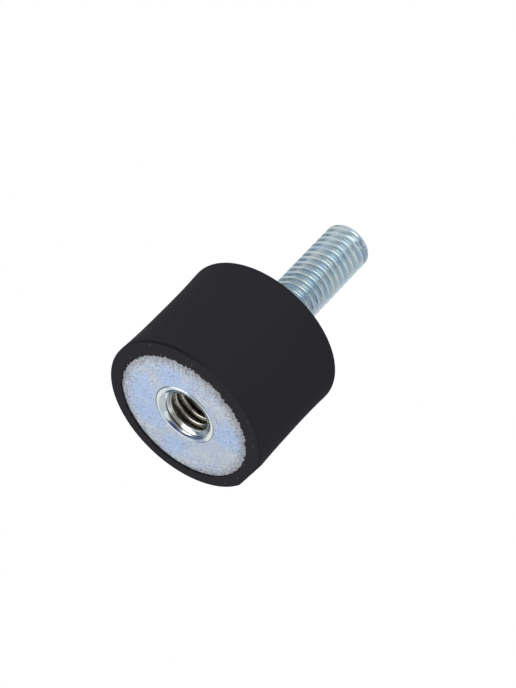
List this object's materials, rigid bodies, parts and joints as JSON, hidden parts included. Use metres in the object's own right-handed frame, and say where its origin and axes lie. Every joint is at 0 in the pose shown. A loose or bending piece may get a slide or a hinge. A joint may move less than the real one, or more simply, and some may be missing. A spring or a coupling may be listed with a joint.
{
  "type": "bobbin vibration mount",
  "caption": "Cylindrical rubber-to-metal vibration mount, waisted rubber between two steel plates, with a blind threaded socket at one end and a threaded stud at the other.",
  "frame": {"origin": "centre of the socket end, in the plane of the rubber's lip", "axes": "+Z along the mount's own axis, from the socket end to the tip of the stud; the mount stands on its socket end"},
  "size_m": [0.02, 0.02, 0.033],
  "materials": {
    "rubber": "moulded black natural rubber, matt",
    "zinc_plate": "bright zinc plate with a bluish passivate, finely pitted and hazy from moulding",
    "zinc_turned": "turned steel under bright zinc plate, glossy mouth, darker thread",
    "zinc_thread": "rolled thread under bright zinc plate with a bluish passivate"
  },
  "bodies": {
    "root": {"rubber_body": "rubber", "socket_plate": "zinc_plate", "stud_plate": "zinc_plate", "threaded_bush": "zinc_turned", "stud": "zinc_thread"}
  },
  "joints": []
}
